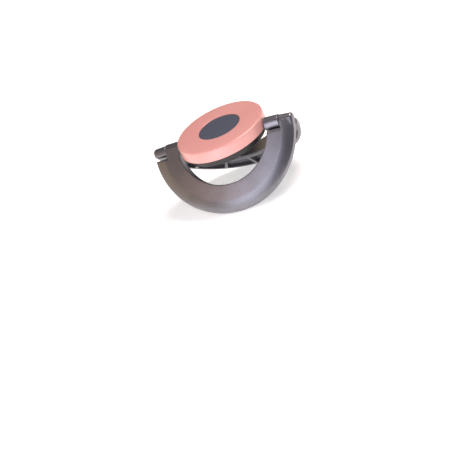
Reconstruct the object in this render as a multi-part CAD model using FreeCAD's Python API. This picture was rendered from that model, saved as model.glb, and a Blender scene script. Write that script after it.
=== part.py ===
import FreeCAD, Part
import math
import os

# Champagne stopper with two half-ring clamp wings, in its closed position.
# Origin: centre of the seal's flat face, on the plug's axis.
# +Z runs up through the cap, X lies along the hinge line. Millimetres and degrees.

# Mouth that the stopper closes
MOUTH_BORE_R = 8.75
MOUTH_RIM_R = 14.5
PLUG_CLEARANCE = 0.15

# Seal and its core
SEAL_FLANGE_T = 2.2
SEAL_FLANGE_OVERHANG = 1.0
SEAL_EDGE_ROUND = 0.6
PLUG_STRAIGHT = 6.5
PLUG_NOSE_LENGTH = 2.8
PLUG_NOSE_TAPER = 2.2
PLUG_NOSE_ROUND = 1.0
SEAL_WALL_T = 1.6
CORE_FLANGE_INSET = 1.3
CORE_FLANGE_T = 1.2
CORE_BEAD_HEIGHT = 0.5
CORE_BEAD_LENGTH = 1.4
SEAL_FLOOR_T = 1.8

# Hub
HUB_RIM_BELOW_COVER = 0.35
HUB_WALL_T = 1.8
HUB_PLATE_T = 2.0
SKIRT_DEPTH = 1.93
SKIRT_TAPER = 0.7
SKIRT_FOOT_ROUND = 0.6
SEAT_RIB_H = 1.5
SEAT_RING_W = 2.4
HUB_BOSS_R = 5.6
STIFFENER_T = 1.2
STIFFENER_COUNT = 8

# Cover and inlay
COVER_R = 23.9
COVER_WALL_T = 1.4
COVER_WALL_H = 6.5
COVER_PLATE_T = 1.6
COVER_RIM_ROUND = 1.0
COVER_FIT_GAP = 0.1
COVER_WINDOW_R = 11.5
COVER_WINDOW_CHAMFER = 0.35
COVER_FOOT_ROUND = 0.3
SNAP_HEIGHT = 0.3
SNAP_DROP = 2.4
SNAP_GAP = 0.05
INLAY_GAP = 0.16
INLAY_T = 1.5
INLAY_ROUND = 0.3

# Core screw and washer
SCREW_R = 1.5
SCREW_LENGTH = 11.0
SCREW_HEAD_R = 2.8
SCREW_HEAD_H = 1.5
SCREW_HEAD_ROUND = 0.5
SCREW_SOCKET_ACROSS = 2.0
SCREW_SOCKET_DEPTH = 0.9
HEX_SIDES = 6
SCREW_HOLE_GAP = 0.15
PILOT_SPARE_DEPTH = 0.8
WASHER_R = 3.1
WASHER_T = 0.4
COUNTERBORE_GAP = 0.3
COUNTERBORE_FLOOR_T = 1.0

# Hinge line
HINGE_Z = 2.5
PIN_R = 1.25
PIN_CHAMFER = 0.25
PIN_RUN_CLEARANCE = 0.04
PIN_END_GAP = 0.4
PIN_INSET = 0.3
LUG_END_WALL = 2.2
BOSS_R = 3.4
BOSS_SEAL_GAP = 0.4
PIN_SLOT_GAP = 0.15

# Wings
FOLD_ANGLE = 51.5
WING_COVER_GAP = 1.7
WING_WIDTH = 14.4
CREASE_FROM_INNER = 8.6
CROWN_FROM_OUTER = 2.4
FACE_AT_INNER = 3.7
FACE_AT_CREASE = 3.45
FACE_AT_CROWN = 2.65
FACE_AT_OUTER = 1.0
CROWN_ROUND = 10.0
BACK_AT_INNER = 3.15
BACK_AT_OUTER = 2.2
LIP_BACK_ROUND = 1.2
LIP_FACE_ROUND = 0.4
RIM_ROUND = 0.5
LUG_SPLIT_FROM_INNER = 7.0
LUG_GAP = 0.3
INNER_LUG_R = 3.7
INNER_LUG_END_R = 3.5
OUTER_LUG_R = 3.1
OUTER_LUG_END_R = 2.6
LUG_EDGE_CHAMFER = 0.3
LUG_TIP_ROUND = 1.4
LUG_BLEND_LENGTH = 9.0
LUG_BLEND_DROP = 1.1
NOTCH_GAP = 0.3
NOTCH_FACE_ROUND = 1.8
NOTCH_BACK_ROUND = 1.6

# Cored back of the wings
LIP_T = 2.6
RIM_T = 1.9
FACE_T = 2.1
CORE_END_ANGLE = 17.0
CORE_POCKETS = 6
CORE_RIB_T = 1.5
CORE_ROUND = 0.6

# Heights worked out from the stack above the seal's face
core_top = SEAL_FLANGE_T + CORE_FLANGE_T
hub_ceiling = core_top + SEAT_RIB_H
hub_top = hub_ceiling + HUB_PLATE_T
cover_top = hub_top + COVER_PLATE_T
cover_foot = cover_top - COVER_WALL_H
snap_z = hub_top - SNAP_DROP
counterbore_floor = core_top + COUNTERBORE_FLOOR_T
screw_seat = counterbore_floor + WASHER_T

# Radii worked out from the pieces that they fit
plug_r = MOUTH_BORE_R - PLUG_CLEARANCE
plug_nose_r = plug_r - PLUG_NOSE_TAPER
core_r = plug_r - SEAL_WALL_T
seal_flange_r = MOUTH_RIM_R + SEAL_FLANGE_OVERHANG
core_flange_r = seal_flange_r - CORE_FLANGE_INSET
seat_ring_inner_r = core_flange_r - SEAT_RING_W
cover_inner_r = COVER_R - COVER_WALL_T
hub_r = cover_inner_r - COVER_FIT_GAP
hub_foot_r = hub_r - SKIRT_TAPER
skirt_inner_r = hub_foot_r - HUB_WALL_T
inlay_r = COVER_WINDOW_R - INLAY_GAP
wing_inner_r = COVER_R + WING_COVER_GAP
wing_outer_r = wing_inner_r + WING_WIDTH
crease_r = wing_inner_r + CREASE_FROM_INNER
crown_r = wing_outer_r - CROWN_FROM_OUTER

# Places along the hinge line, worked out from the cap and the wings
boss_start = seal_flange_r + BOSS_SEAL_GAP
boss_end = hub_r - HUB_WALL_T / 2
lug_split = wing_inner_r + LUG_SPLIT_FROM_INNER
inner_lug_start = COVER_R + LUG_GAP
inner_lug_end = lug_split - LUG_GAP / 2
outer_lug_start = lug_split + LUG_GAP / 2
lug_bore_end = wing_outer_r - LUG_END_WALL
pin_start = boss_start + PIN_INSET
pin_end = lug_bore_end - PIN_END_GAP
lug_bore_r = PIN_R + PIN_RUN_CLEARANCE
notch_depth = INNER_LUG_R + NOTCH_GAP

ORIGIN = FreeCAD.Vector(0, 0, 0)
X_AXIS = FreeCAD.Vector(1, 0, 0)
Z_AXIS = FreeCAD.Vector(0, 0, 1)
HINGE = FreeCAD.Vector(0, 0, HINGE_Z)


def upright(radius, height):
    """Point of a section that stands on the XZ plane."""
    return FreeCAD.Vector(radius, 0, height)


def rounded_corner(before, corner, after, radius):
    """Arc of the given radius that is tangent to both lines at a corner."""
    into = (before - corner).normalize()
    out = (after - corner).normalize()
    half_angle = into.getAngle(out) / 2
    reach = radius / math.tan(half_angle)
    bisector = (into + out).normalize()
    middle = corner + bisector * (radius / math.sin(half_angle) - radius)
    return Part.Arc(corner + into * reach, middle, corner + out * reach)


def section(points, place=upright):
    """Flat face inside a closed outline. Each point is (u, v) or, with a round, (u, v, radius)."""
    corners = [place(point[0], point[1]) for point in points]
    radii = [point[2] if len(point) > 2 else 0 for point in points]
    pieces = []
    count = len(corners)
    for index, corner in enumerate(corners):
        if radii[index]:
            arc = rounded_corner(
                corners[index - 1], corner, corners[(index + 1) % count], radii[index]
            )
            pieces.append((arc.StartPoint, arc.EndPoint, arc))
        else:
            pieces.append((corner, corner, None))
    edges = []
    for index, (start, end, arc) in enumerate(pieces):
        if arc:
            edges.append(arc.toShape())
        following = pieces[(index + 1) % count][0]
        edges.append(Part.LineSegment(end, following).toShape())
    return Part.Face(Part.Wire(edges))


def turned(points, angle=360.0):
    """Solid of revolution about Z from (radius, height) points."""
    return section(points).revolve(ORIGIN, Z_AXIS, angle)


def turned_on_hinge(points):
    """Solid of revolution about X from (x, radius) points."""
    return section(points).revolve(ORIGIN, X_AXIS, 360.0)


def disc(radius, bottom, top):
    """Upright cylinder on the cap's axis between two heights."""
    return Part.makeCylinder(radius, top - bottom, FreeCAD.Vector(0, 0, bottom), Z_AXIS)


def rod(radius, start, end):
    """Cylinder along the X axis between two places."""
    return Part.makeCylinder(radius, end - start, FreeCAD.Vector(start, 0, 0), X_AXIS)


def half_turned(shape):
    """The same shape turned half round about the cap's axis."""
    copy = shape.copy()
    copy.rotate(ORIGIN, Z_AXIS, 180.0)
    return copy


def make_core_body():
    """Plug core without its screw hole: flange, shank and the bead at its foot."""
    foot = -(PLUG_STRAIGHT + PLUG_NOSE_LENGTH - SEAL_FLOOR_T)
    bead_top = foot + CORE_BEAD_LENGTH
    bead_r = core_r + CORE_BEAD_HEIGHT
    slope = CORE_BEAD_HEIGHT
    nose_r = min(core_r, plug_nose_r) - slope
    return turned([
        (0, foot),
        (nose_r, foot),
        (bead_r, bead_top),
        (core_r, bead_top + slope),
        (core_r, SEAL_FLANGE_T),
        (core_flange_r, SEAL_FLANGE_T),
        (core_flange_r, core_top),
        (0, core_top),
    ])


def make_seal_core():
    """Stiff plug core with the blind pilot hole for the screw."""
    hole_end = screw_seat - SCREW_LENGTH - PILOT_SPARE_DEPTH
    return make_core_body().cut(disc(SCREW_R, hole_end, core_top))


def make_seal():
    """Silicone cap: flat flange over the rim and a plug with a tapered nose."""
    nose_end = -(PLUG_STRAIGHT + PLUG_NOSE_LENGTH)
    body = turned([
        (0, nose_end),
        (plug_nose_r, nose_end, PLUG_NOSE_ROUND),
        (plug_r, -PLUG_STRAIGHT),
        (plug_r, 0),
        (seal_flange_r, 0),
        (seal_flange_r, SEAL_FLANGE_T, SEAL_EDGE_ROUND),
        (0, SEAL_FLANGE_T),
    ])
    return body.cut(make_core_body())


def make_stiffeners():
    """Radial ribs under the hub's plate, between its middle boss and its wall."""
    length = skirt_inner_r + HUB_WALL_T / 2
    blade = Part.makeBox(
        length, STIFFENER_T, SEAT_RIB_H, FreeCAD.Vector(0, -STIFFENER_T / 2, core_top)
    )
    ribs = []
    for index in range(STIFFENER_COUNT):
        rib = blade.copy()
        rib.rotate(ORIGIN, Z_AXIS, (index + 0.5) * 360.0 / STIFFENER_COUNT)
        ribs.append(rib)
    return ribs


def make_hub():
    """Carrier moulding: plate, skirt, seal seat, ribs and the two hinge bosses."""
    rim_foot = cover_foot - HUB_RIM_BELOW_COVER
    shell = turned([
        (0, hub_ceiling),
        (skirt_inner_r, hub_ceiling),
        (skirt_inner_r, -SKIRT_DEPTH),
        (hub_foot_r, -SKIRT_DEPTH, SKIRT_FOOT_ROUND),
        (hub_r, rim_foot),
        (hub_r, hub_top),
        (0, hub_top),
    ])
    seat_ring = disc(core_flange_r, core_top, hub_ceiling)
    seat_ring = seat_ring.cut(disc(seat_ring_inner_r, core_top, hub_ceiling))
    middle_boss = disc(HUB_BOSS_R, core_top, hub_ceiling)
    boss = rod(BOSS_R, boss_start, boss_end)
    boss.translate(HINGE)
    hub = shell.multiFuse([seat_ring, middle_boss, boss, half_turned(boss)] + make_stiffeners())
    groove_r = hub_r - SNAP_HEIGHT - SNAP_GAP
    groove = turned([
        (hub_r, snap_z - SNAP_HEIGHT - SNAP_GAP),
        (groove_r, snap_z),
        (hub_r, snap_z + SNAP_HEIGHT + SNAP_GAP),
    ])
    pin_hole = rod(PIN_R, seal_flange_r, hub_r)
    pin_hole.translate(HINGE)
    screw_hole = disc(SCREW_R + SCREW_HOLE_GAP, core_top, hub_top)
    counterbore = disc(WASHER_R + COUNTERBORE_GAP, counterbore_floor, hub_top)
    hub = hub.cut([groove, pin_hole, half_turned(pin_hole), screw_hole, counterbore])
    return hub.removeSplitter()


def make_top_cover():
    """Rose cover: ring plate with a rounded rim and a side wall that snaps on the hub."""
    shell = turned([
        (COVER_WINDOW_R, hub_top),
        (cover_inner_r, hub_top),
        (cover_inner_r, snap_z + SNAP_HEIGHT),
        (cover_inner_r - SNAP_HEIGHT, snap_z),
        (cover_inner_r, snap_z - SNAP_HEIGHT),
        (cover_inner_r, cover_foot),
        (COVER_R, cover_foot, COVER_FOOT_ROUND),
        (COVER_R, cover_top, COVER_RIM_ROUND),
        (COVER_WINDOW_R + COVER_WINDOW_CHAMFER, cover_top),
        (COVER_WINDOW_R, cover_top - COVER_WINDOW_CHAMFER),
    ])
    pin_slot = rod(PIN_R + PIN_SLOT_GAP, 0, COVER_R)
    pin_slot.translate(HINGE)
    return shell.cut([pin_slot, half_turned(pin_slot)])


def make_centre_inlay():
    """Disc that closes the cover's window and hides the screw."""
    inlay_top = hub_top + INLAY_T
    return turned([
        (0, hub_top),
        (inlay_r, hub_top),
        (inlay_r, inlay_top, INLAY_ROUND),
        (0, inlay_top),
    ])


def make_screw_washer():
    """Plain washer under the screw's head."""
    body = disc(WASHER_R, counterbore_floor, screw_seat)
    return body.cut(disc(SCREW_R + SCREW_HOLE_GAP, counterbore_floor, screw_seat))


def make_core_screw():
    """Round-headed screw with a hexagon socket, its thread left plain."""
    head_top = screw_seat + SCREW_HEAD_H
    screw_end = screw_seat - SCREW_LENGTH
    body = turned([
        (0, screw_end),
        (SCREW_R, screw_end),
        (SCREW_R, screw_seat),
        (SCREW_HEAD_R, screw_seat),
        (SCREW_HEAD_R, head_top, SCREW_HEAD_ROUND),
        (0, head_top),
    ])
    corner_r = SCREW_SOCKET_ACROSS / math.sqrt(3)
    corners = []
    for step in range(HEX_SIDES):
        turn = math.radians(step * 360.0 / HEX_SIDES)
        corners.append((corner_r * math.cos(turn), corner_r * math.sin(turn)))
    floor = head_top - SCREW_SOCKET_DEPTH
    outline = section(corners, lambda x, y: FreeCAD.Vector(x, y, floor))
    socket = outline.extrude(FreeCAD.Vector(0, 0, SCREW_SOCKET_DEPTH))
    return body.cut(socket)


def make_hinge_pin():
    """Right-hand hinge pin with a chamfer at each end."""
    pin = turned_on_hinge([
        (pin_start, 0),
        (pin_start, PIN_R - PIN_CHAMFER),
        (pin_start + PIN_CHAMFER, PIN_R),
        (pin_end - PIN_CHAMFER, PIN_R),
        (pin_end, PIN_R - PIN_CHAMFER),
        (pin_end, 0),
    ])
    pin.translate(HINGE)
    return pin


def face_height(radius):
    """Height of the wing's face over its middle plane, measured between the face's corners."""
    stations = [
        (wing_inner_r, FACE_AT_INNER),
        (crease_r, FACE_AT_CREASE),
        (crown_r, FACE_AT_CROWN),
        (wing_outer_r, FACE_AT_OUTER),
    ]
    for (start_r, start_h), (end_r, end_h) in zip(stations, stations[1:]):
        if radius <= end_r:
            return start_h + (end_h - start_h) * (radius - start_r) / (end_r - start_r)


def make_bow():
    """Half ring of the wing, flat on the XY plane and open towards +Y.

    The face has a flat inner zone and, past a soft crease, a crowned outer zone that falls
    to the thin rim. The inner edge is the thick lip that grips from below.
    """
    return turned([
        (wing_inner_r, -BACK_AT_INNER, LIP_BACK_ROUND),
        (wing_inner_r, FACE_AT_INNER, LIP_FACE_ROUND),
        (crease_r, FACE_AT_CREASE),
        (crown_r, FACE_AT_CROWN, CROWN_ROUND),
        (wing_outer_r, FACE_AT_OUTER, RIM_ROUND),
        (wing_outer_r, -BACK_AT_OUTER, RIM_ROUND),
    ], -180.0)


def make_core_pockets():
    """Pockets in the wing's back that keep its walls even, with ribs left between them."""
    inner = wing_inner_r + LIP_T
    outer = wing_outer_r - RIM_T
    below = -2 * BACK_AT_INNER
    profile = [
        (inner, below),
        (inner, face_height(inner) - FACE_T, CORE_ROUND),
        (crease_r, FACE_AT_CREASE - FACE_T),
        (outer, face_height(outer) - FACE_T, CORE_ROUND),
        (outer, below),
    ]
    rib_angle = math.degrees(CORE_RIB_T / crease_r)
    pitch = (180.0 - 2 * CORE_END_ANGLE + rib_angle) / CORE_POCKETS
    pockets = []
    for index in range(CORE_POCKETS):
        pocket = turned(profile, -(pitch - rib_angle))
        pocket.rotate(ORIGIN, Z_AXIS, -(CORE_END_ANGLE + index * pitch))
        pockets.append(pocket)
    return pockets


def make_inner_lug():
    """Barrel next to the hub at the wing's left end, about the hinge line."""
    return turned_on_hinge([
        (-inner_lug_end, 0),
        (-inner_lug_end, INNER_LUG_END_R - LUG_EDGE_CHAMFER),
        (-inner_lug_end + LUG_EDGE_CHAMFER, INNER_LUG_END_R),
        (-inner_lug_start - LUG_EDGE_CHAMFER, INNER_LUG_R),
        (-inner_lug_start, INNER_LUG_R - LUG_EDGE_CHAMFER),
        (-inner_lug_start, 0),
    ])


def lug_outline(x, radius):
    """Side view of the outer lug at one x: a round nose whose flanks run into the bow."""
    def point(y, z):
        return FreeCAD.Vector(x, y, z)

    tail = radius - LUG_BLEND_DROP
    top = Part.LineSegment(point(-LUG_BLEND_LENGTH, tail), point(0, radius)).toShape()
    nose = Part.Arc(point(0, radius), point(radius, 0), point(0, -radius)).toShape()
    bottom = Part.LineSegment(point(0, -radius), point(-LUG_BLEND_LENGTH, -tail)).toShape()
    end = Part.LineSegment(point(-LUG_BLEND_LENGTH, -tail), point(-LUG_BLEND_LENGTH, tail)).toShape()
    return Part.Wire([top, nose, bottom, end])


def make_outer_lug():
    """Tapered lug at the wing's right end, trimmed to the bow's outer radius."""
    block = Part.makeLoft(
        [lug_outline(outer_lug_start, OUTER_LUG_R), lug_outline(wing_outer_r, OUTER_LUG_END_R)],
        True,
        True,
    )
    trim = turned([
        (0, -OUTER_LUG_R),
        (wing_outer_r, -OUTER_LUG_R, LUG_TIP_ROUND),
        (wing_outer_r, OUTER_LUG_R, LUG_TIP_ROUND),
        (0, OUTER_LUG_R),
    ])
    return block.common(trim)


def make_notch(start, end):
    """Room for the other wing's lug: the bow's end is cut back and its edges are rounded."""
    reach = NOTCH_FACE_ROUND + NOTCH_BACK_ROUND
    past_room = -notch_depth - 2 * reach
    land = section([
        (past_room, -BACK_AT_INNER),
        (-notch_depth, -BACK_AT_INNER, NOTCH_BACK_ROUND),
        (-notch_depth, FACE_AT_INNER, NOTCH_FACE_ROUND),
        (past_room, FACE_AT_INNER),
    ], lambda y, z: FreeCAD.Vector(start, y, z))
    room = Part.makeBox(
        end - start,
        wing_outer_r,
        4 * FACE_AT_INNER,
        FreeCAD.Vector(start, -notch_depth - reach, -2 * FACE_AT_INNER),
    )
    return room.cut(land.extrude(FreeCAD.Vector(end - start, 0, 0)))


def make_flat_wing():
    """One wing, unfolded on the XY plane with the hinge line on X."""
    bow = make_bow()
    inner_room = make_notch(wing_inner_r - LIP_T, outer_lug_start)
    outer_room = make_notch(-wing_outer_r - LUG_GAP, -inner_lug_end)
    bow = bow.cut([inner_room, outer_room])
    wing = bow.multiFuse([make_inner_lug(), make_outer_lug()])
    inner_bore = rod(lug_bore_r, -lug_split, -COVER_R)
    outer_bore = rod(lug_bore_r, lug_split, lug_bore_end)
    wing = wing.cut(make_core_pockets() + [inner_bore, outer_bore])
    return wing.removeSplitter()


def make_front_wing():
    """The wing folded down on the front side."""
    wing = make_flat_wing()
    wing.rotate(ORIGIN, X_AXIS, FOLD_ANGLE)
    wing.translate(HINGE)
    return wing


front_wing = make_front_wing()
hinge_pin = make_hinge_pin()

nodes = {
    "top_cover": make_top_cover(),
    "centre_inlay": make_centre_inlay(),
    "hub": make_hub(),
    "front_wing": front_wing,
    "rear_wing": half_turned(front_wing),
    "hinge_pin_left": half_turned(hinge_pin),
    "hinge_pin_right": hinge_pin,
    "seal": make_seal(),
    "seal_core": make_seal_core(),
    "core_screw": make_core_screw(),
    "screw_washer": make_screw_washer(),
}

os.makedirs("parts", exist_ok=True)
for name, shape in nodes.items():
    shape.exportStep("parts/" + name + ".step")
    print(name, "solids", len(shape.Solids), "valid", shape.isValid(), "mm3", round(shape.Volume, 2))
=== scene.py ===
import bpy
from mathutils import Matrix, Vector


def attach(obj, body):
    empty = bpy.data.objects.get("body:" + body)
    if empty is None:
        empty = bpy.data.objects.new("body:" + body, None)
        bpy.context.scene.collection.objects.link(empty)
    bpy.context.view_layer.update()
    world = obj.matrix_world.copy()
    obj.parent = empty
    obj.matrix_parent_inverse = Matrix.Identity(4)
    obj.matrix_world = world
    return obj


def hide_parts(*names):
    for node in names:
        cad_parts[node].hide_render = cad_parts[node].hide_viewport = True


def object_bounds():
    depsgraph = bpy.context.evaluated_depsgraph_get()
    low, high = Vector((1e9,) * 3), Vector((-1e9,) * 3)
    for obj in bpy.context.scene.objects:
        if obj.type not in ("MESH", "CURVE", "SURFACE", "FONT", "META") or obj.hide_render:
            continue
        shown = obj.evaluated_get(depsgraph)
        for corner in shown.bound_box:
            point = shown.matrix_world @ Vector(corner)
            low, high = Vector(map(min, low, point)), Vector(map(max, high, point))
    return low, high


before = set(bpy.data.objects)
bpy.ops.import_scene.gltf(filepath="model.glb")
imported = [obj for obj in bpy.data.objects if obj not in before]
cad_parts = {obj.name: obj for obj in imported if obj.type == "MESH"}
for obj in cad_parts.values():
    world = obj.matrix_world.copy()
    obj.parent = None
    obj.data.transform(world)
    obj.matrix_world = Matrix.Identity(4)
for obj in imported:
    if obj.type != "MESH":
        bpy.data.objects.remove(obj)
cad_box = [list(corner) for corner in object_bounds()]

import math

import bmesh
import bpy
import numpy as np
from mathutils import Matrix, Vector

# A clamp stopper: rose cover, dark inlay, charcoal hub and two half-ring wings. Sizes are
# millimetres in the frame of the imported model, and surface() turns them to metres. X lies
# along the hinge line and +Z runs up through the cap.

MM = 0.001
SHARP_ANGLE = 32.0

# Hinge line and the wings' closed position
HINGE_Z = 2.5
FOLD_ANGLE = 51.5

# Wing moulding
WING_INNER_R = 25.6
WING_OUTER_R = 40.0
CREASE_R = 34.2
FACE_AT_INNER = 3.7
FACE_AT_CREASE = 3.45
FACE_AT_OUTER = 1.0
FALL_AT_CREASE = 0.2
FALL_AT_RIM = 0.7
CREASE_SOFTNESS = 0.5
BACK_AT_INNER = 3.15
BACK_AT_OUTER = 2.2
LIP_FACE_ROUND = 0.4
LIP_BACK_ROUND = 1.2
RIM_ROUND = 0.5

# Lugs at the wing's ends, and the notches that leave room for the other wing's lugs
LUG_SPLIT_X = 32.6
LUG_GAP = 0.3
INNER_LUG_START = 24.2
LUG_BORE_R = 1.29
LUG_BORE_END = 37.8
LUG_EDGE_ROUND = 0.3
INNER_LUG_R = 3.7
INNER_LUG_END_R = 3.5
OUTER_LUG_R = 3.1
OUTER_LUG_END_R = 2.6
LUG_TIP_ROUND = 1.4
LUG_BLEND_LENGTH = 9.0
LUG_BLEND_DROP = 1.1
LUG_BLEND_SWELL = 1.5
LUG_SOFTNESS = 0.6
NOTCH_DEPTH = 4.0
NOTCH_FACE_ROUND = 1.62
NOTCH_BACK_ROUND = 1.28
NOTCH_FULL_HEIGHT = 2.2
NOTCH_FADE = 0.5
ROW_TURN_DEPTH = 9.0
TIP_ROUND_DEPTH = 6.0
BARREL_BLEND_DEPTH = 3.0
FLANK_BLEND_DEPTH = 2.0
FLANK_SINK = 10.0
BOW_END_ROUND = 0.5
END_WALL_SHARE = 0.12
SLOPE_STEP = 0.1

# Cored back of the wings
LIP_T = 2.6
RIM_T = 1.9
FACE_T = 2.1
CORE_END_ANGLE = 17.0
CORE_POCKETS = 6
CORE_RIB_T = 1.5
CORE_ROUND = 0.6
CORE_DRAFT = 0.15
CORE_WALL_SHARE = 0.87

# Cover and inlay
COVER_R = 23.9
COVER_INNER_R = 22.5
COVER_TOP = 8.5
COVER_FOOT = 2.0
COVER_RIM_ROUND = 1.0
COVER_FOOT_ROUND = 0.3
COVER_WINDOW_R = 11.5
COVER_WINDOW_ROUND = 0.35
COVER_DISH = 0.12
PIN_SLOT_R = 1.4
INLAY_R = 11.34
INLAY_TOP = 8.4
INLAY_ROUND = 0.3
INLAY_CROWN = 0.18

# Hub
HUB_TOP = 6.9
HUB_CEILING = 4.9
HUB_R = 22.4
HUB_FOOT_R = 21.7
HUB_RIM_FOOT = 1.65
HUB_RIM_ROUND = 0.5
SKIRT_INNER_R = 19.9
SKIRT_FOOT = -1.93
SKIRT_FOOT_ROUND = 0.6
SKIRT_INNER_ROUND = 0.3
SKIRT_ROOT_ROUND = 0.8
SEAT_FACE = 3.4
SEAT_RING_R = 14.2
SEAT_FACE_ROUND = 0.2
SEAT_RING_ROUND = 0.4
BOSS_R = 3.4
BOSS_START = 15.9
BOSS_END = 21.5
BOSS_EDGE_ROUND = 0.3
STIFFENER_T = 1.2
STIFFENER_COUNT = 8
STIFFENER_ROUND = 0.25
STIFFENER_ROOT = 0.3
STIFFENER_IN_SEAT = 1.0
STIFFENER_IN_SKIRT = 0.6

# Seal
SEAL_FLANGE_R = 15.5
SEAL_FLANGE_T = 2.2
SEAL_EDGE_ROUND = 0.6
SEAL_CORNER_ROUND = 0.25
PLUG_SHOULDER_ROUND = 1.5
PLUG_R = 8.6
PLUG_STRAIGHT = 6.5
PLUG_NOSE_LENGTH = 2.8
PLUG_NOSE_R = 6.4
PLUG_NOSE_ROUND = 1.0

# Mesh columns of a wing's section: round edges, lip side and rim side
ARC_COUNT = 6
INNER_COUNT = 14
OUTER_COUNT = 26
QUARTER = np.linspace(0.0, 0.5 * math.pi, ARC_COUNT)[None, :]

# Surface grain
DRIFT_MM = 20.0
GRAIN_HEIGHT = 0.05
GLOSS_SPREAD = 0.04

# Floor, light and camera
FLOOR_HALF = 3000.0
FLOOR_GAP = 0.02
FLOOR_GLOW = 0.55
BRIGHT_SIDE = (-0.93, -0.3, 0.1)
BRIGHT_SIDE_COLOUR = (0.98, 0.73, 0.48, 1.0)
DIM_SIDE_COLOUR = (0.1, 0.1, 0.13, 1.0)
# Name, place, width and height, watts, tint and aim of each soft box
SOFT_BOXES = (
    ("key", (-8.0, -107.0, 28.0), (64.0, 102.0), 0.06, "#eeefff", (20.0, -16.0, -12.0)),
    ("fill", (-58.0, -92.0, 60.0), (20.0, 36.0), 0.005, "#ffbf8c", (-17.0, -17.0, -13.0)),
    ("top", (220.0, 130.0, 540.0), (380.0, 380.0), 3.9, "#fff4ee", (0.0, 0.0, 0.0)),
)
CAMERA_ELEVATION = 26.27
CAMERA_AZIMUTH = 25.85
CAMERA_ROLL = -26.79
CAMERA_DISTANCE = 1450.0
CAMERA_LENS = 220.0
SENSOR_WIDTH = 36.0
PHOTO_SIZE = 460
HINGE_PIXEL = (223.7, 136.0)


def smooth_step(value):
    """Rises from 0 to 1 as the value does, level at both ends."""
    value = np.clip(value, 0.0, 1.0)
    return value * value * (3.0 - 2.0 * value)


def soft_max(first, second, softness):
    """The larger of two heights, blended where they differ by less than the softness."""
    softness = np.maximum(softness, 1e-6)
    overlap = np.maximum(softness - np.abs(first - second), 0.0) / softness
    return np.maximum(first, second) + 0.25 * softness * overlap * overlap


def round_drop(distance, radius):
    """How far a quarter round lies below its flat, at a distance in from the edge."""
    inside = np.clip(radius - distance, 0.0, radius)
    return radius - np.sqrt(np.maximum(radius * radius - inside * inside, 0.0))


def outline(points, steps=7):
    """Polyline through (u, v) points, where a third value rounds the corner.

    A round is the arc that is tangent to both neighbouring lines: it starts radius / tan(half
    the corner's angle) before the corner, and its centre lies on the corner's bisector.
    """
    path = []
    count = len(points)
    for index, point in enumerate(points):
        corner = np.array(point[:2], float)
        if len(point) == 2:
            path.append(corner)
            continue
        into = np.array(points[index - 1][:2], float) - corner
        out = np.array(points[(index + 1) % count][:2], float) - corner
        into /= np.linalg.norm(into)
        out /= np.linalg.norm(out)
        half = 0.5 * math.acos(float(np.clip(into @ out, -1.0, 1.0)))
        bisector = (into + out) / np.linalg.norm(into + out)
        centre = corner + bisector * point[2] / math.sin(half)
        start = corner + into * point[2] / math.tan(half) - centre
        end = corner + out * point[2] / math.tan(half) - centre
        sweep = math.pi - 2.0 * half
        for part in np.linspace(0.0, 1.0, steps + 1):
            weights = np.sin(sweep * np.array([1.0 - part, part])) / math.sin(sweep)
            path.append(centre + weights[0] * start + weights[1] * end)
    return np.array(path)


def surface(name, points, wrap_rows=False, wrap_columns=False):
    """Mesh object over a grid of points (rows, columns, 3) in millimetres, one quad per cell.

    A wrapped direction joins its last line to its first. Poles and seams are merged, the faces
    are turned outwards, and edges that bend more than the sharp angle stay crisp.
    """
    rows, columns = points.shape[:2]
    index = np.arange(rows * columns).reshape(rows, columns)
    if wrap_rows:
        index = np.vstack([index, index[:1]])
    if wrap_columns:
        index = np.hstack([index, index[:, :1]])
    quads = np.stack(
        [index[:-1, :-1], index[:-1, 1:], index[1:, 1:], index[1:, :-1]], axis=-1
    ).reshape(-1, 4)
    mesh = bpy.data.meshes.new(name)
    mesh.from_pydata((points.reshape(-1, 3) * MM).tolist(), [], quads.tolist())
    return finished(name, mesh)


def finished(name, mesh):
    """Object from a mesh whose doubles are merged and whose faces point outwards."""
    work = bmesh.new()
    work.from_mesh(mesh)
    bmesh.ops.remove_doubles(work, verts=work.verts, dist=0.002 * MM)
    bmesh.ops.dissolve_degenerate(work, edges=work.edges, dist=0.001 * MM)
    bmesh.ops.recalc_face_normals(work, faces=work.faces)
    work.to_mesh(mesh)
    work.free()
    mesh.shade_smooth()
    mesh.set_sharp_from_angle(angle=math.radians(SHARP_ANGLE))
    piece = bpy.data.objects.new(name, mesh)
    bpy.context.scene.collection.objects.link(piece)
    return piece


def turned(name, profile, turns=180, place=None):
    """Solid of revolution: each (radius, height) of the profile goes round the cap's axis.

    The point at turn t is (radius cos t, radius sin t, height). A place function may turn the
    finished grid elsewhere, such as onto the hinge line.
    """
    angle = np.linspace(0.0, 2.0 * math.pi, turns, endpoint=False)[:, None]
    radius, height = profile[None, :, 0], profile[None, :, 1]
    points = np.stack(
        [radius * np.cos(angle), radius * np.sin(angle), height + 0.0 * angle], axis=-1
    )
    if place:
        points = place(points)
    return surface(name, points, wrap_rows=True)


# Wings


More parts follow.
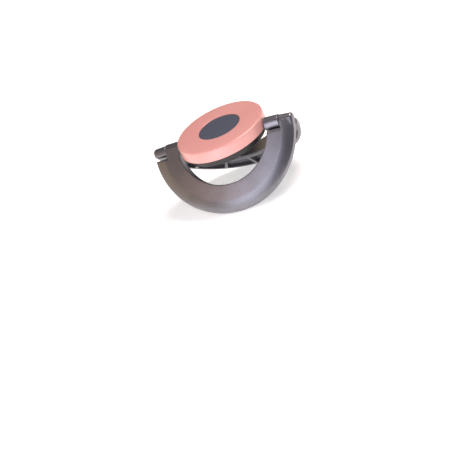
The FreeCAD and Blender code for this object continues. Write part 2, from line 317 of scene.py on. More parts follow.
def face_profile():
    """Radius and height along the wing's face: nearly flat to the crease, then ever steeper.

    Past the crease the height falls by a u + b u^2 + c u^3, with u the share of the way out.
    a and a + 2 b + 3 c are the falls per unit of u at the crease and at the rim. A running
    mean over a millimetre or two softens the crease.
    """
    radius = np.linspace(WING_INNER_R - CREASE_SOFTNESS, WING_OUTER_R, 400)
    width = WING_OUTER_R - CREASE_R
    fall = FACE_AT_CREASE - FACE_AT_OUTER
    first = FALL_AT_CREASE * width
    third = FALL_AT_RIM * width - first - 2.0 * (fall - first)
    second = fall - first - third
    share = np.clip((radius - CREASE_R) / width, 0.0, 1.0)
    slope = (FACE_AT_INNER - FACE_AT_CREASE) / (CREASE_R - WING_INNER_R)
    height = FACE_AT_CREASE + slope * np.maximum(CREASE_R - radius, 0.0)
    height = height - first * share - second * share ** 2 - third * share ** 3
    reach = int(CREASE_SOFTNESS / (radius[1] - radius[0]))
    mean = np.convolve(height, np.ones(reach) / reach, mode="same")
    near = smooth_step(2.0 - np.abs(radius - CREASE_R) / CREASE_SOFTNESS)
    return np.stack([radius, height + (mean - height) * near], axis=1)


FACE_PROFILE = face_profile()


def face_height(radius):
    """Height of the bow's face over the wing's middle plane at a radius."""
    return np.interp(radius, FACE_PROFILE[:, 0], FACE_PROFILE[:, 1])


def back_depth(radius):
    """Depth of the bow's back under the middle plane: it tapers straight from lip to rim."""
    share = (radius - WING_INNER_R) / (WING_OUTER_R - WING_INNER_R)
    return BACK_AT_INNER + (BACK_AT_OUTER - BACK_AT_INNER) * share


def inner_lug_r(along):
    """Radius of the barrel beside the hub at a distance along the hinge line."""
    start, end = INNER_LUG_START, LUG_SPLIT_X - LUG_GAP / 2
    return INNER_LUG_R + (INNER_LUG_END_R - INNER_LUG_R) * (along - start) / (end - start)


def outer_lug_r(along):
    """Radius of the tapered lug at the wing's far end."""
    start = LUG_SPLIT_X + LUG_GAP / 2
    share = (along - start) / (WING_OUTER_R - start)
    return OUTER_LUG_R + (OUTER_LUG_END_R - OUTER_LUG_R) * share


def flank_height(along, depth):
    """Half height of the outer lug's flank, which sinks into the bow with its depth."""
    share = depth / LUG_BLEND_LENGTH
    return outer_lug_r(along) - LUG_BLEND_DROP * share - LUG_BLEND_SWELL * share * share


def core_profile(inset):
    """Share of the way up into a cored pocket at an inset from its nearest wall."""
    wall = np.clip(inset / CORE_DRAFT, 0.0, 1.0) * CORE_WALL_SHARE
    bend = np.clip((inset - CORE_DRAFT) / CORE_ROUND, 0.0, 1.0)
    return wall + (1.0 - CORE_WALL_SHARE) * np.sqrt(np.maximum(1.0 - (1.0 - bend) ** 2, 0.0))


def core_spans():
    """Start and end angle of each pocket in the back, with ribs left between them."""
    rib = math.degrees(CORE_RIB_T / CREASE_R)
    pitch = (180.0 - 2.0 * CORE_END_ANGLE + rib) / CORE_POCKETS
    starts = CORE_END_ANGLE + pitch * np.arange(CORE_POCKETS)
    return np.stack([starts, starts + pitch - rib], axis=1)


CORE_SPANS = core_spans()
CORE_STEPS = np.array([0.0, 1.0, 1.4, 2.0, 3.2, 5.0]) * CORE_DRAFT


def full_rows():
    """Angle of each row of the bow that has its whole width, from the left end to the right.

    Rows crowd at the notch's round and at the pockets' walls, and lie about two degrees apart
    elsewhere.
    """
    middle_r = (WING_INNER_R + WING_OUTER_R) / 2
    depths = NOTCH_DEPTH + np.array([0.0, 0.05, 0.15, 0.3, 0.5, 0.75, 1.05, 1.4, 1.8, 2.4, 3.2, 4.1, 5.0])
    end_rows = np.degrees(np.arcsin(depths / middle_r))
    steps = np.degrees(CORE_STEPS / CREASE_R)
    rows = [end_rows]
    for start, end in CORE_SPANS:
        inner = np.linspace(start + steps[-1], end - steps[-1], 11)
        rows += [start + steps[:-1], inner, end - steps[:-1][::-1]]
    rows.append(180.0 - end_rows[::-1])
    return np.concatenate(rows)


def spread(start, end, shares):
    """Places between a start and an end, at shares of the way."""
    return start + (end - start) * shares


def core_columns(inner, split, outer):
    """Radii of the back's columns: lip, pocket wall, floor up to the split, and on to the rim."""
    wall_in = WING_INNER_R + LIP_T + CORE_STEPS
    wall_out = WING_OUTER_R - RIM_T - CORE_STEPS[::-1]
    lip = np.linspace(0.0, 1.0, 4)[None, :-1]
    lip = spread(inner, WING_INNER_R + LIP_T, lip)
    floor = np.linspace(0.0, 1.0, INNER_COUNT - lip.shape[1] - len(wall_in) + 1)[None, 1:]
    floor = spread(wall_in[-1], split, floor)
    first = np.hstack([lip, np.tile(wall_in, (len(inner), 1)), floor])
    rim = np.linspace(0.0, 1.0, 5)[None, 1:]
    rim = spread(WING_OUTER_R - RIM_T, outer, rim)
    middle = np.linspace(0.0, 1.0, OUTER_COUNT - rim.shape[1] - len(wall_out) + 2)[None, 1:-1]
    middle = spread(split, wall_out[0], middle)
    last = np.hstack([middle, np.tile(wall_out, (len(inner), 1)), rim])
    return first, last


def wing_points():
    """Grid of the flat wing: each row is a closed section, carried from lug nose to lug nose.

    Along the bow a row is a radial line, and towards the ends it turns parallel to the hinge
    line. A row's section runs over the face from the inner edge to the rim, down the rim, back
    over the cored underside and up the lip. Heights are functions of the place in the plane:
    the face profile, blended with the lugs and dropped by the notches' rounds, and on the back
    the pockets. Past the notches a row keeps only its lug's width, and its spare columns run
    down the lug's end. The nose rows turn about the hinge line by a quarter, till face and
    back meet.
    """
    face_shares = (
        np.linspace(0.0, 1.0, INNER_COUNT + 1)[None, 1:],
        np.linspace(0.0, 1.0, OUTER_COUNT + 1)[None, 1:],
    )
    split_in = LUG_SPLIT_X - LUG_GAP / 2 - LUG_EDGE_ROUND
    split_out = LUG_SPLIT_X + LUG_GAP / 2 + LUG_EDGE_ROUND
    middle_r = (WING_INNER_R + WING_OUTER_R) / 2

    # Rows with the whole width
    angle = full_rows()[:, None]
    right = angle > 90.0
    beta = np.radians(np.where(right, 180.0 - angle, angle))
    depth = middle_r * np.sin(beta)
    radial = smooth_step((depth - NOTCH_DEPTH) / (ROW_TURN_DEPTH - NOTCH_DEPTH))
    sweep = angle / 180.0
    split_left_r = math.hypot(split_in, NOTCH_DEPTH)
    split_right_r = math.hypot(split_out, NOTCH_DEPTH)
    split = split_left_r + (split_right_r - split_left_r) * sweep

    def place(radius):
        """Place in the wing's plane of a radius on each row."""
        level = np.arcsin(np.clip(depth / radius, -1.0, 1.0))
        turn = (1.0 - radial) * level + radial * beta
        side = np.where(right, 1.0, -1.0)
        return side * radius * np.cos(turn), -radius * np.sin(turn)

    def notch_weight(radius):
        """1 on the side of the split that the notch's round reaches, 0 on the lug's side."""
        beyond = np.where(right, split - radius, radius - split)
        return smooth_step(beyond / NOTCH_FADE + 0.5)

    def face_at(radius):
        """Height of the face on each row, with the lug's flank and the notch's round."""
        x, y = place(radius)
        past = -y - NOTCH_DEPTH
        weight = notch_weight(radius)
        bow = face_height(radius)
        flank = np.where(right, flank_height(np.abs(x), -y) - FLANK_SINK * weight, -FLANK_SINK)
        reach = NOTCH_FACE_ROUND * np.minimum(1.0, bow / NOTCH_FULL_HEIGHT)
        bow = bow - weight * round_drop(past, reach)
        return soft_max(bow, flank, LUG_SOFTNESS)

    def back_at(radius):
        """Depth of the back on each row, with the lug's flank and the notch's round."""
        x, y = place(radius)
        past = -y - NOTCH_DEPTH
        weight = notch_weight(radius)
        bow = back_depth(radius)
        flank = np.where(right, flank_height(np.abs(x), -y) - FLANK_SINK * weight, -FLANK_SINK)
        bow = bow - weight * round_drop(past, NOTCH_BACK_ROUND)
        return soft_max(bow, flank, LUG_SOFTNESS)

    def core_at(radius):
        """Share of the way up into the pockets, 0 under the ribs and the walls."""
        inset = np.minimum(radius - WING_INNER_R - LIP_T, WING_OUTER_R - RIM_T - radius)
        reach = np.zeros_like(radius)
        for start, end in CORE_SPANS:
            near = np.radians(np.minimum(angle - start, end - angle)) * CREASE_R
            reach += core_profile(np.maximum(np.minimum(inset, near), 0.0))
        return reach

    ones = np.ones_like(angle)

    def half(height_at, inner_round, outer_round, first, last):
        """Radius and height of one side of the section, from the inner edge to the rim."""
        inner_r = WING_INNER_R + inner_round * (1.0 - np.cos(QUARTER)) * ones
        inner_h = height_at(WING_INNER_R + inner_round * ones)
        inner_h = inner_h - inner_round * (1.0 - np.sin(QUARTER))
        edge = WING_OUTER_R - outer_round
        slope = (height_at(edge) - height_at(edge + SLOPE_STEP)) / SLOPE_STEP
        lean = np.arctan(np.maximum(slope, 0.0))
        arc = lean + (0.5 * math.pi - lean) * np.linspace(0.0, 1.0, ARC_COUNT)[None, :]
        start_r = edge + outer_round * np.sin(lean)
        outer_r = edge + outer_round * np.sin(arc)
        outer_h = height_at(start_r) - outer_round * (np.cos(lean) - np.cos(arc))
        columns = np.hstack([first, last[:, :-1]])
        radius = np.hstack([inner_r, columns, outer_r])
        height = np.hstack([inner_h, height_at(columns), outer_h])
        return radius, height

    tip = smooth_step((TIP_ROUND_DEPTH - depth) / TIP_ROUND_DEPTH) * right
    rim_round = RIM_ROUND + (LUG_TIP_ROUND - RIM_ROUND) * tip
    face_first = spread(WING_INNER_R + LIP_FACE_ROUND, split, face_shares[0])
    face_last = spread(split, WING_OUTER_R - rim_round, face_shares[1])
    face_r, face_z = half(face_at, LIP_FACE_ROUND, rim_round, face_first, face_last)
    back_first, back_last = core_columns(
        WING_INNER_R + LIP_BACK_ROUND + 0.05 * ones, split, WING_OUTER_R - rim_round
    )
    back_r, back_z = half(back_at, LIP_BACK_ROUND, rim_round, back_first, back_last)
    floor = face_height(back_r) - FACE_T
    back_z = -back_z + core_at(back_r) * (floor + back_z)

    face_x, face_y = place(face_r)
    back_x, back_y = place(back_r)
    whole = stitched(
        np.stack([face_x, face_y, face_z], axis=-1), np.stack([back_x, back_y, back_z], axis=-1)
    )
    return whole, np.abs(face_x), np.abs(back_x)


def stitched(face, back, walls=4):
    """Closed sections from face and back halves, joined by short straight walls."""
    shares = np.linspace(0.0, 1.0, walls + 2)[None, 1:-1, None]
    rim = face[:, -1:] + (back[:, -1:] - face[:, -1:]) * shares
    lip = back[:, :1] + (face[:, :1] - back[:, :1]) * shares
    return np.concatenate([face, rim, back[:, ::-1], lip], axis=1)


def lug_rows(face_x, back_x, half):
    """Rows from the notch to the nose for one end of the wing, as (face, back) halves.

    The first row repeats the bow's end row on the lug's own width. From there the rows run
    level to the hinge line, and then turn round it by angle: y = R sin t, z = R cos t.
    """
    levels = np.array([0.0, 0.12, 0.3, 0.5, 0.7, 0.88, 1.0])
    turn = np.radians(np.linspace(0.0, 90.0, 17))[1:]
    depth = np.concatenate([NOTCH_DEPTH * (1.0 - levels), np.zeros_like(turn)])[:, None]
    nose = np.concatenate([np.zeros_like(levels), turn])[:, None]
    return half(face_x, depth, nose, True), half(back_x, depth, nose, False)


def inner_lug_half(edge_x, depth, nose, is_face):
    """Face or back of the barrel beside the cover, from the bow's end row to its nose.

    Its inner end leaves the bow's inner edge and swings in to the cover in one smooth step.
    """
    end = LUG_SPLIT_X - LUG_GAP / 2
    edge = np.sqrt(WING_INNER_R ** 2 - depth ** 2)
    start = INNER_LUG_START + (edge - INNER_LUG_START) * smooth_step(depth / NOTCH_DEPTH)
    wide = LIP_FACE_ROUND if is_face else LIP_BACK_ROUND
    inner_round = wide + (LUG_EDGE_ROUND - wide) * smooth_step(1.0 - depth / NOTCH_DEPTH)
    shares = edge_x[:, ARC_COUNT:ARC_COUNT + INNER_COUNT] - edge_x[:, ARC_COUNT - 1:ARC_COUNT]
    shares = shares / shares[:, -1:]
    even = np.linspace(0.0, 1.0, INNER_COUNT + 1)[None, 1:]
    shares = shares + (even - shares) * smooth_step(nose / (0.5 * math.pi))
    first_x = start + inner_round
    body_x = first_x + (end - LUG_EDGE_ROUND - first_x) * shares
    arc_x = start + inner_round * (1.0 - np.cos(QUARTER))
    round_x = end - LUG_EDGE_ROUND * (1.0 - np.sin(QUARTER[:, 1:]))

    def height(x):
        """Half height at a place along the hinge, at the row's own depth."""
        barrel = inner_lug_r(x)
        if is_face:
            bow = face_height(np.hypot(x, depth))
            return bow + (barrel - bow) * smooth_step(1.0 - depth / BARREL_BLEND_DEPTH)
        cap = np.sqrt(np.maximum(barrel * barrel - depth * depth, 0.0))
        return np.maximum(back_depth(np.hypot(x, depth)), cap)

    arc_h = height(first_x) - inner_round * (1.0 - np.sin(QUARTER))
    body_h = height(body_x)
    top = height(end - LUG_EDGE_ROUND + 0.0 * depth)
    round_h = top - LUG_EDGE_ROUND * (1.0 - np.cos(QUARTER[:, 1:]))
    fall = np.linspace(1.0, END_WALL_SHARE, OUTER_COUNT + 1)[None, 1:]
    wall_h = round_h[:, -1:] * fall
    wall_x = end + 0.0 * wall_h
    x = np.hstack([arc_x + 0.0 * depth, body_x, round_x + 0.0 * depth, wall_x])
    h = np.hstack([arc_h, body_h, round_h, wall_h])
    return -x, h * np.sin(nose) - depth, h * np.cos(nose)


def outer_lug_half(edge_x, depth, nose, is_face):
    """Face or back of the tapered far lug, from the bow's end row to its nose.

    Up to the hinge line its height is the larger of the bow's and the lug's flank, softly
    blended, and round the nose it is the lug's own radius.
    """
    start = LUG_SPLIT_X + LUG_GAP / 2
    outer = np.sqrt(WING_OUTER_R ** 2 - depth ** 2)
    tip = smooth_step((TIP_ROUND_DEPTH - depth) / TIP_ROUND_DEPTH)
    tip_round = RIM_ROUND + (LUG_TIP_ROUND - RIM_ROUND) * tip
    first_x = start + LUG_EDGE_ROUND
    lead = ARC_COUNT + INNER_COUNT
    shares = edge_x[:, lead:lead + OUTER_COUNT] - edge_x[:, lead - 1:lead]
    shares = shares[:, :-1] / shares[:, -1:]
    even = np.linspace(0.0, 1.0, OUTER_COUNT + 1)[None, 1:-1]
    shares = shares + (even - shares) * smooth_step(nose / (0.5 * math.pi))

    def height(x):
        """Half height at a place along the hinge, at the row's own depth."""
        radius = np.hypot(x, depth)
        bow = face_height(radius) if is_face else back_depth(radius)
        bow = bow - round_drop(depth, BOW_END_ROUND)
        softness = LUG_SOFTNESS * smooth_step(depth / FLANK_BLEND_DEPTH)
        level = soft_max(bow, flank_height(x, depth), softness)
        return np.where(nose > 0.0, outer_lug_r(x), level)

    edge = outer - tip_round
    slope = (height(edge) - height(edge + SLOPE_STEP)) / SLOPE_STEP
    lean = np.arctan(np.maximum(slope, 0.0))
    arc = lean + (0.5 * math.pi - lean) * np.linspace(0.0, 1.0, ARC_COUNT)[None, :]
    begin = edge + tip_round * np.sin(lean)
    tip_x = edge + tip_round * np.sin(arc)
    tip_h = height(begin) - tip_round * (np.cos(lean) - np.cos(arc))
    body_x = first_x + (begin - first_x) * shares
    body_h = height(body_x)
    top = height(first_x + 0.0 * depth)
    round_x = start + LUG_EDGE_ROUND * (1.0 - np.cos(QUARTER))
    round_h = top - LUG_EDGE_ROUND * (1.0 - np.sin(QUARTER))
    rise = np.linspace(END_WALL_SHARE, 1.0, INNER_COUNT + 1)[None, :-1]
    wall_h = round_h[:, :1] * rise
    wall_x = start + 0.0 * wall_h
    x = np.hstack([wall_x, round_x + 0.0 * depth, body_x, tip_x])
    h = np.hstack([wall_h, round_h, body_h, tip_h])
    return x, h * np.sin(nose) - depth, h * np.cos(nose)


def make_wing(name, rear):
    """One wing in its closed place: the flat wing folded about the hinge line.

    The fold turns (y, z) by the fold angle: y' = y cos f - z sin f, z' = y sin f + z cos f.
    """
    whole, face_x, back_x = wing_points()
    ends = []
    for row, half in ((0, inner_lug_half), (-1, outer_lug_half)):
        top, bottom = lug_rows(face_x[row][None, :], back_x[row][None, :], half)
        bottom = (bottom[0], bottom[1], -bottom[2])
        ends.append(stitched(np.stack(top, axis=-1), np.stack(bottom, axis=-1)))
    points = np.concatenate([ends[0][::-1], whole, ends[1]], axis=0)
    fold = math.radians(FOLD_ANGLE)
    x, y, z = points[..., 0], points[..., 1], points[..., 2]
    folded = np.stack(
        [x, y * math.cos(fold) - z * math.sin(fold), y * math.sin(fold) + z * math.cos(fold) + HINGE_Z],
        axis=-1,
    )
    side = -1.0 if rear else 1.0
    wing = surface(name, folded * np.array([side, side, 1.0]), wrap_columns=True)
    bores = [
        make_bore(-side * (LUG_SPLIT_X - LUG_GAP), -side * (INNER_LUG_START - LUG_GAP)),
        make_bore(side * LUG_SPLIT_X, side * LUG_BORE_END),
    ]
    return joined(wing, bores, operation="DIFFERENCE")


def make_bore(start, end):
    """Cylinder along the hinge line between two places, to cut a lug's pin bore."""
    profile = np.array([(0.0, start), (LUG_BORE_R, start), (LUG_BORE_R, end), (0.0, end)])
    return turned("bore", profile, turns=48, place=onto_hinge)


def onto_hinge(points):
    """Turns a grid about the cap's axis into one along the hinge line, at the hinge's height."""
    return np.stack([points[..., 2], points[..., 0], points[..., 1] + HINGE_Z], axis=-1)


# Cap


def make_cover():
    """Rose cover: a turned shell whose foot is arched up over the two hinge pins.

    The wall's height below the plate shrinks with the turn angle, so that its foot follows
    the circle z = hinge + sqrt(r^2 - y^2) wherever that is above the plain foot.
    """
    arch = math.pi / 2
    arch_turns = np.arcsin(PIN_SLOT_R * np.sin(np.linspace(-arch, arch, 41)) / COVER_R)
    side = np.linspace(arch_turns[-1], math.pi - arch_turns[-1], 121)[1:-1]
    angle = np.concatenate([arch_turns, side, arch_turns + math.pi, side + math.pi])[:, None]
    across = np.abs(COVER_R * np.sin(angle))
    lift = np.sqrt(np.maximum(PIN_SLOT_R ** 2 - across ** 2, 0.0)) + HINGE_Z
    foot = np.maximum(np.where(across < PIN_SLOT_R, lift, COVER_FOOT), COVER_FOOT)
    profile = outline([
        (COVER_WINDOW_R, HUB_TOP),
        (COVER_INNER_R, HUB_TOP),
        (COVER_INNER_R, COVER_FOOT),
        (COVER_R, COVER_FOOT, COVER_FOOT_ROUND),
        (COVER_R, COVER_TOP - COVER_DISH, COVER_RIM_ROUND),
        (0.5 * (COVER_R + COVER_WINDOW_R), COVER_TOP),
        (COVER_WINDOW_R, COVER_TOP, COVER_WINDOW_ROUND),
    ], steps=10)
    radius, height = profile[None, :, 0], profile[None, :, 1]
    squeeze = (HUB_TOP - foot) / (HUB_TOP - COVER_FOOT)
    height = np.where(height < HUB_TOP, HUB_TOP - (HUB_TOP - height) * squeeze, height + 0.0 * angle)
    points = np.stack([radius * np.cos(angle), radius * np.sin(angle), height], axis=-1)
    return surface("cover_shell", points, wrap_rows=True, wrap_columns=True)


def make_inlay():
    """Inlay disc: slightly crowned, height = top - crown (radius / rim radius)^2."""
    radius = np.linspace(0.0, INLAY_R - INLAY_ROUND, 16)[::-1]
    dome = np.stack([radius, INLAY_TOP - INLAY_CROWN * (radius / INLAY_R) ** 2], axis=1)
    edge = INLAY_TOP - INLAY_CROWN
    rim = outline([
        (0.0, HUB_TOP),
        (INLAY_R, HUB_TOP),
        (INLAY_R, edge, INLAY_ROUND),
        (INLAY_R - 2.0 * INLAY_ROUND, edge + 0.01),
    ])[:-1]
    return turned("inlay_disc", np.vstack([rim, dome]), turns=160)


def make_hub():
    """Charcoal hub: a turned profile of plate and skirt.

    Two bosses turned about the hinge line and a ring of stiffening ribs are added to it.
    """
    shell = turned("hub_moulding", outline([
        (0.0, SEAT_FACE),
        (SEAT_RING_R, SEAT_FACE, SEAT_FACE_ROUND),
        (SEAT_RING_R, HUB_CEILING, SEAT_RING_ROUND),
        (SKIRT_INNER_R, HUB_CEILING, SKIRT_ROOT_ROUND),
        (SKIRT_INNER_R, SKIRT_FOOT, SKIRT_INNER_ROUND),
        (HUB_FOOT_R, SKIRT_FOOT, SKIRT_FOOT_ROUND),
        (HUB_R, HUB_RIM_FOOT, HUB_RIM_ROUND),
        (HUB_R, HUB_TOP),
        (0.0, HUB_TOP),
    ]))
    added = []
    boss = outline([
        (0.0, BOSS_START),
        (BOSS_R, BOSS_START, BOSS_EDGE_ROUND),
        (BOSS_R, BOSS_END, BOSS_EDGE_ROUND),
        (0.0, BOSS_END),
    ])
    for side in (1.0, -1.0):
        added.append(turned("hinge_boss", boss * np.array([1.0, side]), turns=72, place=onto_hinge))
    for index in range(STIFFENER_COUNT):
        turn = (index + 0.5) * 2.0 * math.pi / STIFFENER_COUNT
        added.append(make_stiffener(turn))
    return joined(shell, added)


def make_stiffener(turn):
    """Rib between the seat ring and the skirt: a rounded section carried along a radius."""
    section = outline([
        (-0.5 * STIFFENER_T, HUB_CEILING + STIFFENER_ROOT),
        (-0.5 * STIFFENER_T, SEAT_FACE, STIFFENER_ROUND),
        (0.5 * STIFFENER_T, SEAT_FACE, STIFFENER_ROUND),
        (0.5 * STIFFENER_T, HUB_CEILING + STIFFENER_ROOT),
    ], steps=4)
    centre = section.mean(axis=0)
    start = SEAT_RING_R - STIFFENER_IN_SEAT
    end = SKIRT_INNER_R + STIFFENER_IN_SKIRT
    stations = np.array([start, start, end, end])
    scale = np.array([0.0, 1.0, 1.0, 0.0])[:, None, None]
    ring = centre + (section[None] - centre) * scale
    along = stations[:, None] + 0.0 * ring[..., 0]
    x = along * math.cos(turn) - ring[..., 0] * math.sin(turn)
    y = along * math.sin(turn) + ring[..., 0] * math.cos(turn)
    return surface("stiffener", np.stack([x, y, ring[..., 1]], axis=-1), wrap_columns=True)


def joined(base, others, operation="UNION"):
    """The base with the other closed pieces added to it or cut from it, as one clean mesh."""
    for other in others:
        change = base.modifiers.new("change", "BOOLEAN")
        change.operation = operation
        change.solver = "EXACT"
        change.object = other
    graph = bpy.context.evaluated_depsgraph_get()
    mesh = bpy.data.meshes.new_from_object(base.evaluated_get(graph), depsgraph=graph)
    base.modifiers.clear()
    base.data = mesh
    for other in others:
        bpy.data.objects.remove(other)
    mesh.shade_smooth()
    mesh.set_sharp_from_angle(angle=math.radians(SHARP_ANGLE))
    return base


def make_seal():
    """Silicone seal: a turned profile of a flat flange and a plug with a tapering nose."""
    nose_end = -(PLUG_STRAIGHT + PLUG_NOSE_LENGTH)
    return turned("silicone_seal", outline([
        (0.0, nose_end),
        (PLUG_NOSE_R, nose_end, PLUG_NOSE_ROUND),
        (PLUG_R, -PLUG_STRAIGHT, PLUG_SHOULDER_ROUND),
        (PLUG_R, 0.0, SEAL_CORNER_ROUND),
        (SEAL_FLANGE_R, 0.0, SEAL_CORNER_ROUND),
        (SEAL_FLANGE_R, SEAL_FLANGE_T, SEAL_EDGE_ROUND),
        (0.0, SEAL_FLANGE_T),
    ]))


# Materials


def linear(code):
    """Linear colour of an sRGB hex code."""
    shares = [int(code[start:start + 2], 16) / 255.0 for start in (1, 3, 5)]
    return [s / 12.92 if s <= 0.04045 else ((s + 0.055) / 1.055) ** 2.4 for s in shares] + [1.0]


def add(tree, kind, inputs=None, **settings):
    """Adds one node with its settings; an input is a value, or a socket to link from."""
    node = tree.nodes.new(kind)
    for name, value in settings.items():
        setattr(node, name, value)
    for socket, value in (inputs or {}).items():
        if isinstance(value, bpy.types.NodeSocket):
            tree.links.new(value, node.inputs[socket])
        else:
            node.inputs[socket].default_value = value
    return node


def new_material(name):
    """Empty node material with its output, ready for one shader."""
    material = bpy.data.materials.new(name)
    material.use_nodes = True
    tree = material.node_tree
    tree.nodes.clear()
    return material, tree, add(tree, "ShaderNodeOutputMaterial")


def grains(size_mm):
    """Noise scale for a grain of that size, in metres of Object coordinates."""
    return 1.0 / (size_mm * MM)


def moulded(name, base, light, roughness, grain_mm, relief, metallic=0.0, ior=1.5, coat=0.0):
    """Moulded surface: a fine even grain in colour, gloss and height.

    The grain is noise of a size in millimetres. A mould's own grain is near 0.1 mm, too fine
    to show, so it is drawn at 0.4 to 0.6 mm. A slow drift keeps large areas from one flat tone.
    """
    material, tree, output = new_material(name)
    place = add(tree, "ShaderNodeTexCoord").outputs["Object"]
    grain = add(tree, "ShaderNodeTexNoise", {
        "Vector": place, "Scale": grains(grain_mm), "Detail": 3.0, "Roughness": 0.6,
    }).outputs["Fac"]
    drift = add(tree, "ShaderNodeTexNoise", {
        "Vector": place, "Scale": grains(DRIFT_MM), "Detail": 2.0,
    }).outputs["Fac"]
    mixed = add(tree, "ShaderNodeMath", {0: grain, 1: drift}, operation="MULTIPLY").outputs[0]
    tone = add(tree, "ShaderNodeMapRange", {
        "Value": mixed, "From Min": 0.1, "From Max": 0.4, "To Min": 0.0, "To Max": 1.0,
    }).outputs[0]
    colour = add(tree, "ShaderNodeMix", {
        "Factor": tone, 6: linear(base), 7: linear(light),
    }, data_type="RGBA").outputs[2]
    gloss = add(tree, "ShaderNodeMapRange", {
        "Value": grain, "From Min": 0.3, "From Max": 0.7,
        "To Min": roughness - GLOSS_SPREAD, "To Max": roughness + GLOSS_SPREAD,
    }).outputs[0]
    bump = add(tree, "ShaderNodeBump", {
        "Height": grain, "Strength": relief, "Distance": GRAIN_HEIGHT * MM,
    }).outputs[0]
    shader = add(tree, "ShaderNodeBsdfPrincipled", {
        "Base Color": colour, "Roughness": gloss, "Normal": bump,
        "Metallic": metallic, "IOR": ior, "Coat Weight": coat, "Coat Roughness": 0.25,
    })
    tree.links.new(shader.outputs[0], output.inputs["Surface"])
    return material


def brushed_steel():
    """Drawn steel: fine lines along the hinge, so the gloss streaks along its length.

    The lines of drawing are some hundredths of a millimetre apart, too fine to show, so they
    are drawn at 0.15 mm.
    """
    material, tree, output = new_material("drawn steel")
    place = add(tree, "ShaderNodeTexCoord").outputs["Object"]
    stretched = add(tree, "ShaderNodeMapping", {"Vector": place, "Scale": (0.05, 1.0, 1.0)}).outputs[0]
    lines = add(tree, "ShaderNodeTexNoise", {
        "Vector": stretched, "Scale": grains(0.15), "Detail": 4.0,
    }).outputs["Fac"]
    gloss = add(tree, "ShaderNodeMapRange", {
        "Value": lines, "From Min": 0.3, "From Max": 0.7, "To Min": 0.22, "To Max": 0.38,
    }).outputs[0]
    bump = add(tree, "ShaderNodeBump", {"Height": lines, "Strength": 0.3, "Distance": 0.01 * MM}).outputs[0]
    shader = add(tree, "ShaderNodeBsdfPrincipled", {
        "Base Color": linear("#c2c3c6"), "Metallic": 1.0, "Roughness": gloss, "Normal": bump,
    })
    tree.links.new(shader.outputs[0], output.inputs["Surface"])
    return material


def dressed(piece, material, body, node):
    """Gives a new piece its material, its body and the node that it stands for."""
    piece.data.materials.clear()
    piece.data.materials.append(material)
    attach(piece, body)
    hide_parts(node)


# Floor, light and camera


def make_floor(height):
    """Pale matt floor under the stopper."""
    x, y = np.meshgrid([-FLOOR_HALF, FLOOR_HALF], [-FLOOR_HALF, FLOOR_HALF])
    points = np.stack([x, y, np.full_like(x, height)], axis=-1)
    floor = surface("studio_floor", points)
    floor.data.flip_normals()
    material, tree, output = new_material("matt paper floor")
    shader = add(tree, "ShaderNodeBsdfPrincipled", {
        "Base Color": linear("#f6f5f3"), "Roughness": 0.9,
        "Emission Color": linear("#ffffff"), "Emission Strength": FLOOR_GLOW,
    })
    tree.links.new(shader.outputs[0], output.inputs["Surface"])
    floor.data.materials.append(material)


def area_light(name, place, size, watts, tint, target):
    """Soft box at a place, aimed at a point of the stopper, with its width and height."""
    light = bpy.data.lights.new(name, "AREA")
    light.shape = "RECTANGLE"
    light.size = size[0] * MM
    light.size_y = size[1] * MM
    light.energy = watts
    light.color = linear(tint)[:3]
    holder = bpy.data.objects.new(name, light)
    place = Vector(place) * MM
    aim = (Vector(target) * MM - place).normalized()
    holder.location = place
    holder.rotation_euler = aim.to_track_quat("-Z", "Y").to_euler()
    holder.visible_camera = False
    bpy.context.scene.collection.objects.link(holder)


def make_light():
    """Soft surroundings, warm and brighter on the left, and three soft boxes.

    A cool box stands in front, a small warm one at the front left and a large one above.

    The share of the bright side's colour is a smooth step of the cosine between a direction
    and the middle of that side.
    """
    world = bpy.data.worlds.new("studio")
    world.use_nodes = True
    bpy.context.scene.world = world
    tree = world.node_tree
    direction = add(tree, "ShaderNodeTexCoord").outputs["Generated"]
    cosine = add(tree, "ShaderNodeVectorMath", {
        0: direction, 1: Vector(BRIGHT_SIDE).normalized(),
    }, operation="DOT_PRODUCT").outputs["Value"]
    share = add(tree, "ShaderNodeMapRange", {
        "Value": cosine, "From Min": 0.55, "From Max": 0.97,
    }, interpolation_type="SMOOTHSTEP").outputs[0]
    colour = add(tree, "ShaderNodeMix", {
        "Factor": share, 6: DIM_SIDE_COLOUR, 7: BRIGHT_SIDE_COLOUR,
    }, data_type="RGBA").outputs[2]
    tree.links.new(colour, tree.nodes["Background"].inputs["Color"])
    for box in SOFT_BOXES:
        area_light(*box)


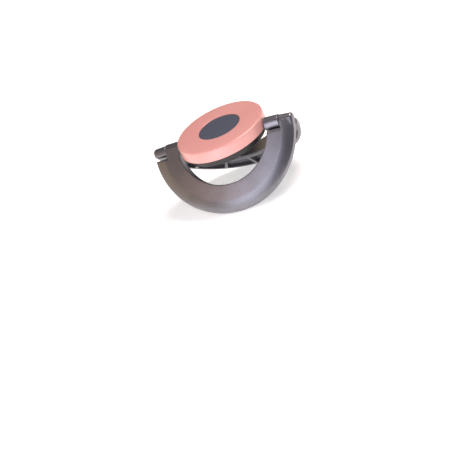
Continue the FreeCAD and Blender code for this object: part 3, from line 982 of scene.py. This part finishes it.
def make_camera():
    """Camera at the photograph's angle, set so that the hinge's middle falls on its pixel."""
    lift, turn, roll = (
        math.radians(value) for value in (CAMERA_ELEVATION, CAMERA_AZIMUTH, CAMERA_ROLL)
    )
    back = Vector((
        math.sin(turn) * math.cos(lift), -math.cos(turn) * math.cos(lift), math.sin(lift)
    ))
    level = Vector((math.cos(turn), math.sin(turn), 0.0))
    above = back.cross(level)
    right = math.cos(roll) * level + math.sin(roll) * above
    up = -math.sin(roll) * level + math.cos(roll) * above
    mm_per_pixel = CAMERA_DISTANCE * SENSOR_WIDTH / CAMERA_LENS / PHOTO_SIZE
    across = (HINGE_PIXEL[0] - PHOTO_SIZE / 2) * mm_per_pixel
    upward = (PHOTO_SIZE / 2 - HINGE_PIXEL[1]) * mm_per_pixel
    place = Vector((0.0, 0.0, HINGE_Z)) + back * CAMERA_DISTANCE - right * across - up * upward
    camera = bpy.data.cameras.new("camera")
    camera.lens = CAMERA_LENS
    camera.sensor_width = SENSOR_WIDTH
    camera.clip_end = 20.0
    holder = bpy.data.objects.new("camera", camera)
    turn_matrix = Matrix((right, up, back)).transposed()
    holder.matrix_world = Matrix.Translation(place * MM) @ turn_matrix.to_4x4()
    bpy.context.scene.collection.objects.link(holder)
    bpy.context.scene.camera = holder


# Aluminium under a satin rose lacquer: an even colour with a broad, soft, pale highlight
rose = moulded("satin rose lacquer", "#e8a39b", "#eeaca5", 0.38, 0.5, 0.12, metallic=0.1, coat=0.5)
# ABS moulded with metal flakes: a grey that takes long soft reflections along the bow
anthracite = moulded("metallic anthracite ABS", "#737276", "#919096", 0.36, 0.42, 0.45, metallic=0.85)
# Soft-touch elastomer, moulded matt: dark blue-grey with almost no highlight
blue_grey = moulded("soft-touch elastomer", "#464c5a", "#4d5363", 0.6, 0.5, 0.15)
# ABS from a lightly etched mould: near black with a thin satin highlight on its rounds
charcoal = moulded("charcoal ABS", "#171516", "#1e1c1d", 0.34, 0.6, 0.1)
# Silicone rubber, moulded matt: dark grey, with a soft glow at its edges only
silicone = moulded("matt silicone", "#232326", "#2b2b2e", 0.55, 0.6, 0.1, ior=1.41)
# Glass-filled nylon, moulded: dark, dull and slightly uneven from its fibres
plain_plastic = moulded("glass-filled nylon", "#2c2c2e", "#37373a", 0.5, 0.4, 0.25)
# Drawn steel: bright, with streaks along its length
steel = brushed_steel()

dressed(make_cover(), rose, "cap", "top_cover")
dressed(make_inlay(), blue_grey, "cap", "centre_inlay")
dressed(make_hub(), charcoal, "cap", "hub")
dressed(make_seal(), silicone, "cap", "seal")
dressed(make_wing("wing_front", False), anthracite, "front_wing", "front_wing")
dressed(make_wing("wing_rear", True), anthracite, "rear_wing", "rear_wing")

for node, material in (
    ("seal_core", plain_plastic),
    ("hinge_pin_left", steel),
    ("hinge_pin_right", steel),
    ("core_screw", steel),
    ("screw_washer", steel),
):
    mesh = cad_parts[node].data
    mesh.materials.clear()
    mesh.materials.append(material)

bpy.context.scene.view_settings.view_transform = "Standard"
make_floor(cad_box[0][2] / MM - FLOOR_GAP)
make_light()
make_camera()
